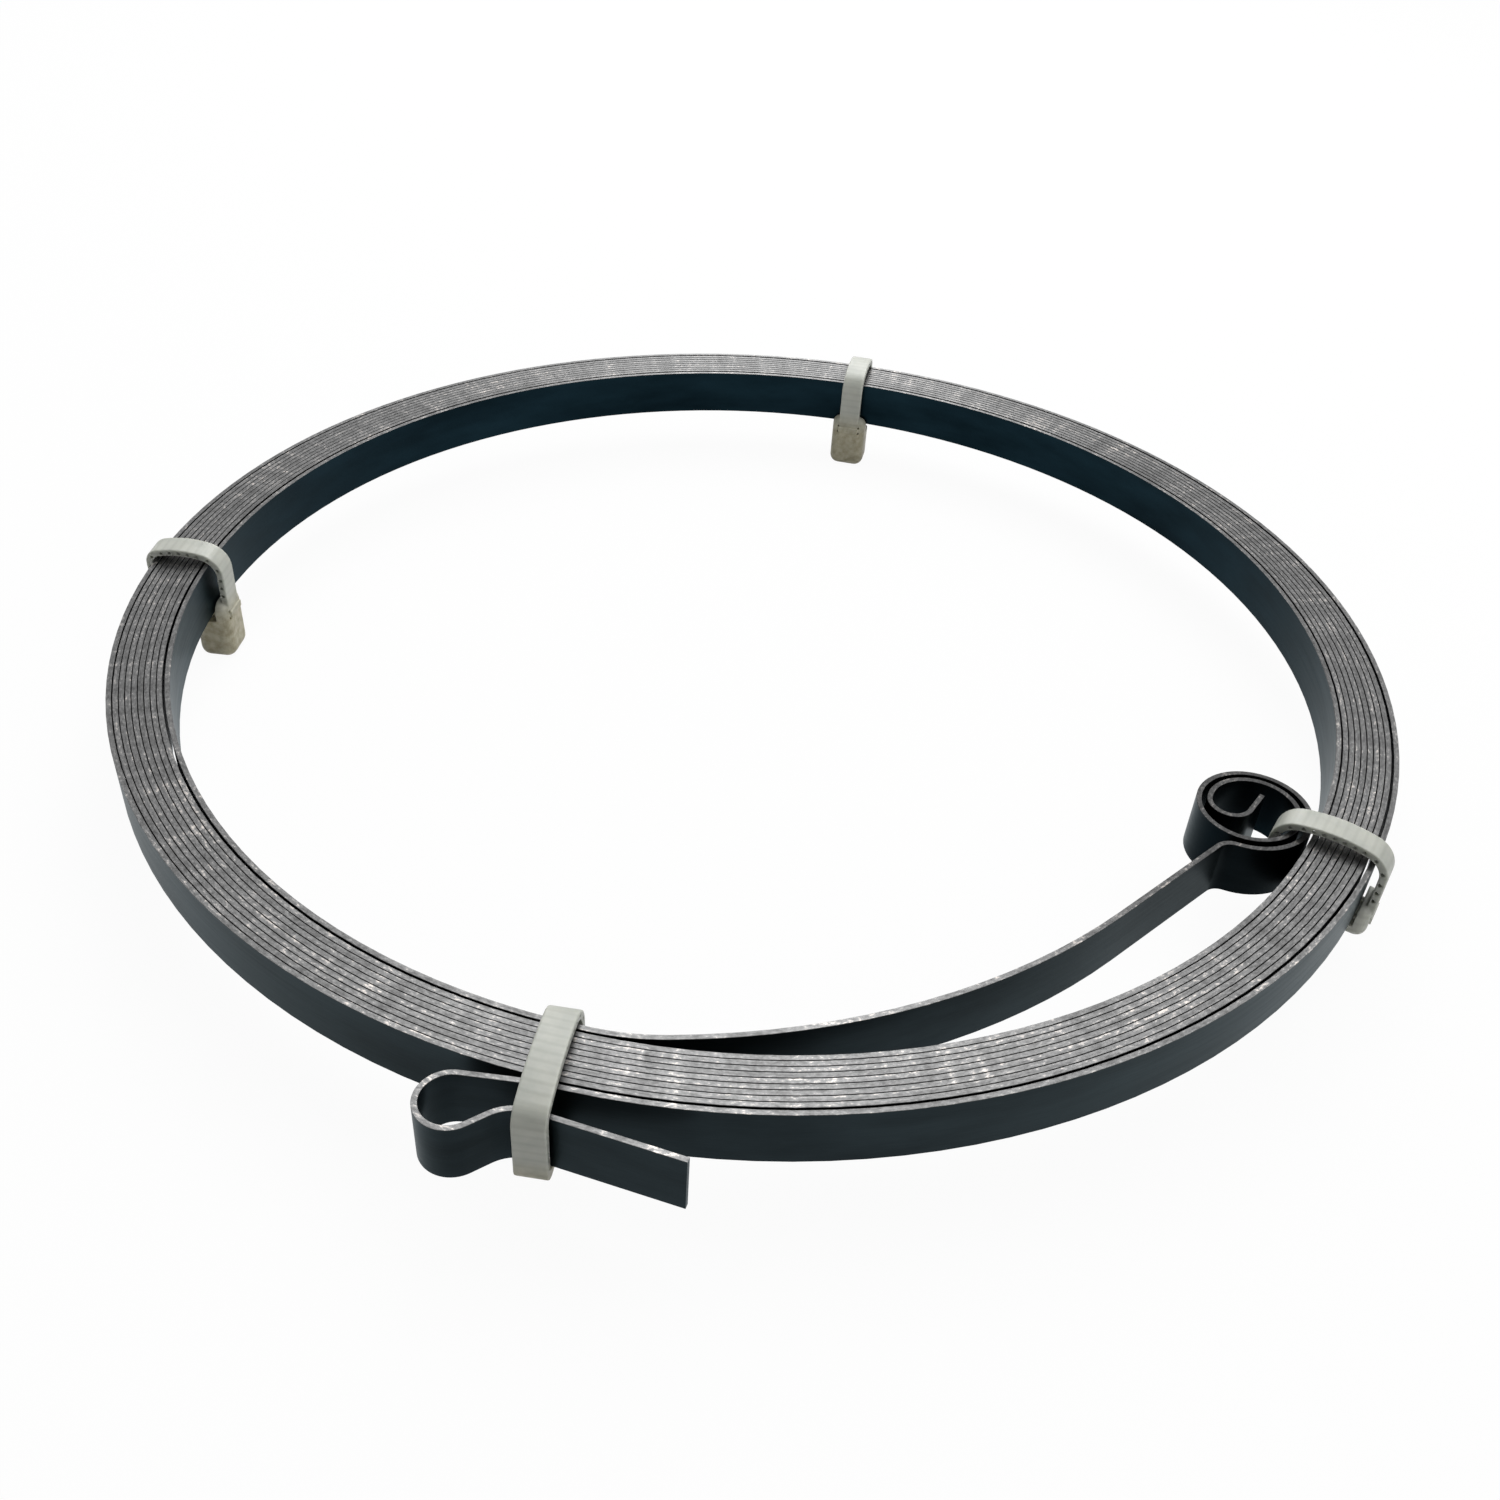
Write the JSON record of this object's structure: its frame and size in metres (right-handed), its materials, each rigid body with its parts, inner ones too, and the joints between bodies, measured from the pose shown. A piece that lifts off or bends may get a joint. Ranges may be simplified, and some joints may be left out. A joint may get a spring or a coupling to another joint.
{
  "type": "spiral power spring",
  "caption": "Flat steel power spring wound into a ring, with a hook at its outer end and a scroll at its inner end, held wound by nylon cable ties.",
  "frame": {"origin": "the coil's axis, level with the strip's lower edges", "axes": "+Z along the coil's axis, upward from the side that the ring lies on; -Y toward the side where the outer hook leaves the coil"},
  "size_m": [0.1708, 0.1762, 0.0172],
  "materials": {
    "blued_steel": "blued, satin, bare at the slit edges",
    "nylon": "milky, slightly translucent"
  },
  "bodies": {
    "root": {"spring_strip": "blued_steel", "cable_tie_front": "nylon", "cable_tie_back": "nylon", "cable_tie_left": "nylon", "cable_tie_right": "nylon"}
  },
  "joints": []
}
